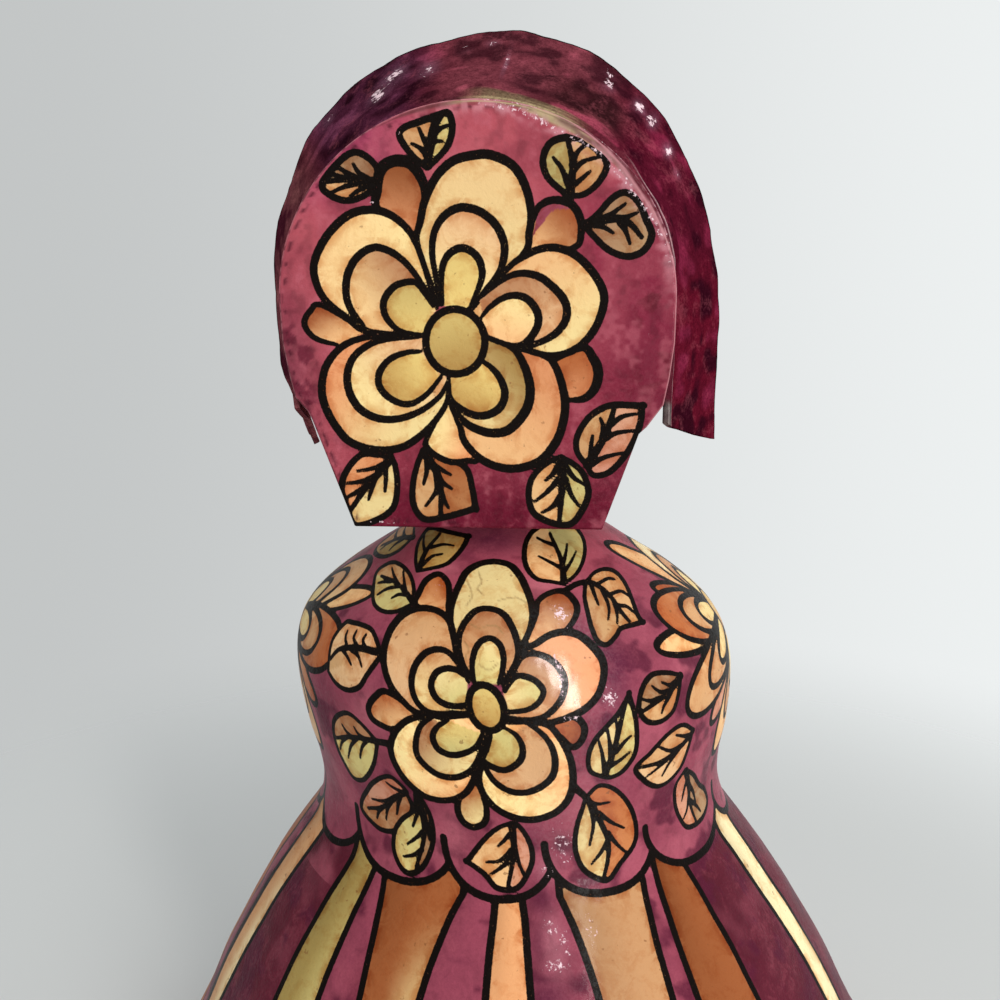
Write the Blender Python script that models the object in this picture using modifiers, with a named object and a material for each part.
"""A papier-mache lady in a poke bonnet, at her real size.

Metres, +Z up. The origin is the middle of the flat underside and the face looks along -Y.
"""

import math

import bpy
import numpy as np

# Driving dimensions.
HEIGHT = 0.402  # floor to the top of the brim
CARD = 0.0016  # thickness of the papered card
GAP = 0.0003  # air between pieces that touch

# The figure: half widths of the dress at heights above the floor.
DRESS = (
    (0.0000, 0.1420),
    (0.0030, 0.1434),
    (0.0080, 0.1432),
    (0.0110, 0.1412),
    (0.0180, 0.1392),
    (0.0340, 0.1330),
    (0.0560, 0.1210),
    (0.0850, 0.1070),
    (0.1100, 0.0925),
    (0.1290, 0.0795),
    (0.1410, 0.0712),
    (0.1520, 0.0682),
    (0.1630, 0.0688),
    (0.1750, 0.0715),
    (0.1880, 0.0733),
    (0.1990, 0.0734),
    (0.2080, 0.0706),
    (0.2160, 0.0645),
    (0.2225, 0.0565),
    (0.2290, 0.0470),
    (0.2350, 0.0375),
    (0.2400, 0.0300),
    (0.2460, 0.0250),
)
DRESS_DEPTH = 0.96  # depth of the dress over its width
LEAN = 0.025  # how far the top stands to the figure's left of the foot
ROWS_PER_SPAN = 2  # rows of faces between two heights of the dress
SIDES = 54  # faces around the figure
FRONT_SHARE = 0.30  # how much closer together the faces stand in front

# The head, an egg with a narrower jaw that runs down into the neck.
HEAD_LEVEL = 0.3130  # height of the eyes, the head's middle
HEAD_RISE = 0.0560  # from the middle to the top of the hair
HEAD_DROP = 0.0500  # from the middle to under the chin
HEAD_HALF_WIDTH = 0.0485
HEAD_FRONT = 0.0420  # from the neck's axis to the cheeks
JAW = 0.14  # how much narrower the jaw is than the brow
NECK = 0.0235  # radius of the neck under the chin
NECK_TOP = 0.2580
SEAT = 0.0006  # room behind the head where its fuller cheeks meet the turned panel
HEAD_ROWS = 22

# The bonnet, turned a little on the neck.
TURN = math.radians(2.5)
PANEL_Y = 0.0410  # rear face of the panel, behind the neck's axis
PANEL_HALF_WIDTH = 0.0575
PANEL_TOP = 0.0550
FLAP_END = -0.0675
# Corners of the panel below its round top, from the side down to the flap's end: across, up.
LEFT_CORNERS = ((0.0570, -0.0120), (0.0553, -0.0220), (0.0538, -0.0285), (0.0502, -0.0326), (0.0490, -0.0350))
RIGHT_CORNERS = ((0.0574, -0.0120), (0.0562, -0.0220), (0.0547, -0.0300), (0.0500, -0.0365), (0.0478, -0.0385))
FLAP_HALF_WIDTH = 0.0370
PANEL_ARC_STEPS = 36
EDGE_ROUND = 0.0005

CROWN_DEPTH = 0.0140  # forward length of the crown wall
BRIM_DEPTH = 0.0880  # forward length of crown and brim together
CROWN_REAR = (0.0562, 0.0538)  # half width and rise where the wall meets the panel
CROWN_FRONT = (0.0585, 0.0585)  # the same where the brim begins
BRIM_EDGE = (0.0810, 0.0880)  # the same at the brim's free edge, before it curls
SIDE_REAR = (0.0320, 0.0355)  # how far the left and right sides hang below the middle, at the panel
SIDE_EDGE = (0.0570, 0.0535)  # the same at the free edge
LEFT_TUCK = 0.0095  # how far the brim's lower left corner bends in
CURL = 0.0010  # the free edge's slight roll outwards
INSIDE_LIP = 0.0006  # how far the sloping wall's inner corner reaches back beyond its outer one
ARCH_STEPS = 44
DEPTH_STEPS = 9


def lean(z):
    """Sideways place of the figure's axis at height z: it grows with the square of the height."""
    return LEAN * (z / HEIGHT) ** 2


def through(knots, spans):
    """A smooth curve through the knots (Catmull-Rom), with so many steps to each span."""
    p = np.array(knots, float)
    p = np.vstack([2 * p[0] - p[1], p, 2 * p[-1] - p[-2]])
    t = (np.arange(spans) / spans)[None, :, None]
    a, b, c, d = p[:-3, None], p[1:-2, None], p[2:-1, None], p[3:, None]
    curve = 0.5 * (2 * b + (c - a) * t + (2 * a - 5 * b + 4 * c - d) * t**2 + (3 * b - a - 3 * c + d) * t**3)
    return np.vstack([curve.reshape(-1, p.shape[1]), p[-2]])


def bump(across, up, middle_across, middle_up, wide, tall):
    """A soft round hill, 1 at its middle."""
    return np.exp(-(((across - middle_across) / wide) ** 2) - ((up - middle_up) / tall) ** 2)


def face_relief(across, up):
    """How far the calm, plain face stands forward of the egg: nose, brow, lips and chin, less the eye hollows.

    across and up are counted from the head's middle. The eyes lie halfway down the head, the nose ends halfway
    from them to the chin, and the lips a third of the way from there.
    """
    nose = 0.0070 * bump(across, up, 0, -0.40 * HEAD_DROP, 0.0062, 0.0075)
    bridge = 0.0035 * bump(across, up, 0, -0.16 * HEAD_DROP, 0.0050, 0.0110)
    lips = 0.0026 * bump(across, up, 0, -0.62 * HEAD_DROP, 0.0105, 0.0045)
    chin = 0.0045 * bump(across, up, 0, -0.84 * HEAD_DROP, 0.0130, 0.0085)
    brow = 0.0016 * bump(across, up, 0, 0.16 * HEAD_DROP, 0.0240, 0.0060)
    hollows = sum(bump(across, up, side * 0.0175, -0.01 * HEAD_DROP, 0.0090, 0.0062) for side in (-1, 1))
    return nose + bridge + lips + chin + brow - 0.0028 * hollows


def mesh_object(name, points, faces, material, collection):
    """An object with this mesh, smooth except along sharp edges."""
    mesh = bpy.data.meshes.new(name)
    mesh.from_pydata([tuple(p) for p in points], [], faces)
    mesh.validate()
    mesh.materials.append(material)
    mesh.shade_smooth()
    mesh.set_sharp_from_angle(angle=math.radians(50))
    made = bpy.data.objects.new(name, mesh)
    collection.objects.link(made)
    return made


def ring_faces(rows, sides):
    """Quads between closed rings of points, one ring after another from the bottom up."""
    return [
        (r * sides + s, r * sides + (s + 1) % sides, (r + 1) * sides + (s + 1) % sides, (r + 1) * sides + s)
        for r in range(rows - 1)
        for s in range(sides)
    ]


def sheet_faces(rows, columns):
    """Quads of an open sheet of rows and columns of points."""
    return [
        (r * columns + c, r * columns + c + 1, (r + 1) * columns + c + 1, (r + 1) * columns + c)
        for r in range(rows - 1)
        for c in range(columns - 1)
    ]


def paint(name, colour, roughness):
    """Varnished paint, as a Principled BSDF."""
    material = bpy.data.materials.new(name)
    material.use_nodes = True
    shader = material.node_tree.nodes["Principled BSDF"]
    shader.inputs["Base Color"].default_value = (*colour, 1)
    shader.inputs["Roughness"].default_value = roughness
    shader.inputs["Metallic"].default_value = 0
    return material


def dress_rings(turns):
    """Rings of the skirt, waist, caped shoulders and neck: ovals that follow the profile up the leaning axis."""
    up, half = through(DRESS, ROWS_PER_SPAN).T
    x = half[:, None] * np.sin(turns) + lean(up)[:, None]
    depth = np.where(up < DRESS[-3][0], DRESS_DEPTH, 1)
    y = -(half * depth)[:, None] * np.cos(turns)
    return np.stack([x, y, np.repeat(up[:, None], len(turns), 1)], -1)


def fuller(a, b):
    """The larger of two sizes, with a smooth change from one to the other (the fourth root of their fourth powers)."""
    return (a**4 + b**4) ** 0.25


def head_rings(turns):
    """Rings of the head: an egg whose jaw narrows into the neck, resting behind against the bonnet's panel."""
    lift = np.linspace(-1, 1, HEAD_ROWS)[:, None]
    height = np.sin(lift * math.pi / 2 * 0.97)
    round_off = np.sqrt(1 - height**2)
    up = np.where(height > 0, HEAD_RISE * height, (HEAD_LEVEL - NECK_TOP) * height)
    jaw = np.sqrt(np.clip(1 - (up / HEAD_DROP) ** 2, 0, 1))
    above = height > 0
    neck = NECK * np.clip(-1.6 * height, 0, 1)
    rest = PANEL_Y - CARD - GAP - SEAT
    half = np.where(above, HEAD_HALF_WIDTH * round_off, fuller(HEAD_HALF_WIDTH * jaw**0.85 * (1 + JAW * height), neck))
    front = np.where(above, HEAD_FRONT * round_off**0.7, fuller(HEAD_FRONT * jaw**0.45, neck))
    back = np.where(above, rest * round_off**0.9, fuller(rest * jaw**0.9, neck))
    across = half * np.sin(turns)
    reach = np.where(np.cos(turns) > 0, front, back)
    face = face_relief(across, up) * np.clip(np.cos(turns), 0, 1) ** 2
    y = -reach * np.cos(turns) - face
    level = HEAD_LEVEL + up
    x = lean(HEAD_LEVEL) + across * math.cos(TURN) - y * math.sin(TURN)
    y = across * math.sin(TURN) + y * math.cos(TURN)
    return np.stack([x, y, np.broadcast_to(level, x.shape)], -1)


def make_figure(material, collection):
    """The moulded body: rings from the hem to the top of the head, closed by a flat underside and a small crown."""
    steps = np.arange(SIDES) * 2 * math.pi / SIDES
    turns = steps - FRONT_SHARE * np.sin(steps)
    rings = np.concatenate([dress_rings(turns), head_rings(turns)])
    rows = len(rings)
    points = np.vstack([rings.reshape(-1, 3), rings[-1].mean(0) + (0, 0, 0.0002)])
    faces = ring_faces(rows, SIDES)
    faces.append(tuple(reversed(range(SIDES))))
    top = (rows - 1) * SIDES
    faces += [(top + s, top + (s + 1) % SIDES, rows * SIDES) for s in range(SIDES)]
    return mesh_object("figure", points, faces, material, collection)


def arch(steps, half_width, rise, left_side, right_side, tuck):
    """Points across and up along a horseshoe: down one side, over a half ellipse and down the other side."""
    s = np.linspace(-1, 1, steps + 1)
    round_share = 0.78
    angle = np.clip(s / round_share, -1, 1) * math.pi / 2
    down = np.clip((np.abs(s) - round_share) / (1 - round_share), 0, 1)
    side = np.where(s < 0, right_side, left_side)
    pull = np.where(s < 0, 0.03 * half_width, 0.03 * half_width + tuck) * down**2
    across = half_width * np.sin(angle) - np.sign(s) * pull
    return across, rise * np.cos(angle) - side * down


def make_bonnet_brim(material, collection):
    """The crown wall and flared brim: a sheet of arches, each a little further forward and wider, given its thickness."""
    share = np.linspace(0, 1, DEPTH_STEPS + 1) ** 1.15
    start = CROWN_DEPTH / BRIM_DEPTH
    share[2] = start
    flare = np.clip((share - start) / (1 - start), 0, 1)
    wall = np.clip(share / start, 0, 1)
    rows = []
    for depth, w, f in zip(share, wall, flare):
        size = [a + (b - a) * w + (c - b) * f**1.1 for a, b, c in zip(CROWN_REAR, CROWN_FRONT, BRIM_EDGE)]
        size = [value + CURL * f**12 for value in size]
        sides = [a + (b - a) * depth for a, b in zip(SIDE_REAR, SIDE_EDGE)]
        across, up = arch(ARCH_STEPS, size[0], size[1], sides[0], sides[1], LEFT_TUCK * f)
        back = PANEL_Y - CARD - GAP - INSIDE_LIP - depth * BRIM_DEPTH
        rows.append(np.stack([across, np.full_like(across, back), up], -1))
    points = np.concatenate(rows)
    brim = mesh_object("bonnet_brim", points, sheet_faces(len(rows), ARCH_STEPS + 1), material, collection)
    wall = brim.modifiers.new("card", "SOLIDIFY")
    wall.thickness = CARD
    wall.offset = -1
    wall.use_even_offset = True
    return brim


def panel_outline():
    """The flat panel's outline: a round top, nearly straight sides, a step on each side and a tapered flap."""
    angle = np.linspace(-math.pi / 2, math.pi / 2, PANEL_ARC_STEPS + 1)
    top = [(PANEL_HALF_WIDTH * math.sin(a), PANEL_TOP * math.cos(a)) for a in angle]
    left = [*LEFT_CORNERS, (FLAP_HALF_WIDTH, FLAP_END)]
    right = [(-FLAP_HALF_WIDTH - 0.0006, FLAP_END)] + [(-x, z) for x, z in reversed(RIGHT_CORNERS)]
    return top + left + right


def make_bonnet_back(material, collection):
    """The panel and neck flap: a flat outline with the card's thickness and softened edges."""
    outline = panel_outline()
    curve = bpy.data.curves.new("panel_outline", "CURVE")
    curve.dimensions = "2D"
    curve.fill_mode = "BOTH"
    curve.extrude = CARD / 2
    spline = curve.splines.new("POLY")
    spline.points.add(len(outline) - 1)
    for point, (x, z) in zip(spline.points, outline):
        point.co = (x, z, 0, 1)
    spline.use_cyclic_u = True
    guide = bpy.data.objects.new("panel_guide", curve)
    collection.objects.link(guide)
    bpy.context.view_layer.update()
    flat = bpy.data.meshes.new_from_object(guide.evaluated_get(bpy.context.evaluated_depsgraph_get()))
    bpy.data.objects.remove(guide, do_unlink=True)
    flat.materials.clear()
    flat.materials.append(material)
    back = bpy.data.objects.new("bonnet_back", flat)
    collection.objects.link(back)
    weld = back.modifiers.new("weld", "WELD")
    weld.merge_threshold = 0.00005
    soft = back.modifiers.new("soft_edge", "BEVEL")
    soft.width = EDGE_ROUND
    soft.segments = 2
    soft.limit_method = "ANGLE"
    soft.angle_limit = math.radians(60)
    return back


def main():
    for old in list(bpy.data.objects):
        bpy.data.objects.remove(old, do_unlink=True)
    collection = bpy.data.collections.new("papier_mache_figure")
    bpy.context.scene.collection.children.link(collection)
    magenta = (0.26, 0.045, 0.075)
    figure = make_figure(paint("dress_paint", magenta, 0.32), collection)
    brim = make_bonnet_brim(paint("brim_paint", (0.11, 0.012, 0.030), 0.36), collection)
    back = make_bonnet_back(paint("panel_paint", magenta, 0.30), collection)

    neck = bpy.data.objects.new("neck", None)
    collection.objects.link(neck)
    neck.location = (lean(HEAD_LEVEL), 0, HEAD_LEVEL)
    neck.rotation_euler = (0, 0, TURN)
    for piece in (brim, back):
        piece.parent = neck
    back.location = (0, PANEL_Y - CARD / 2, 0)
    back.rotation_euler = (math.pi / 2, 0, 0)
    print("made", figure.name, brim.name, back.name)


main()
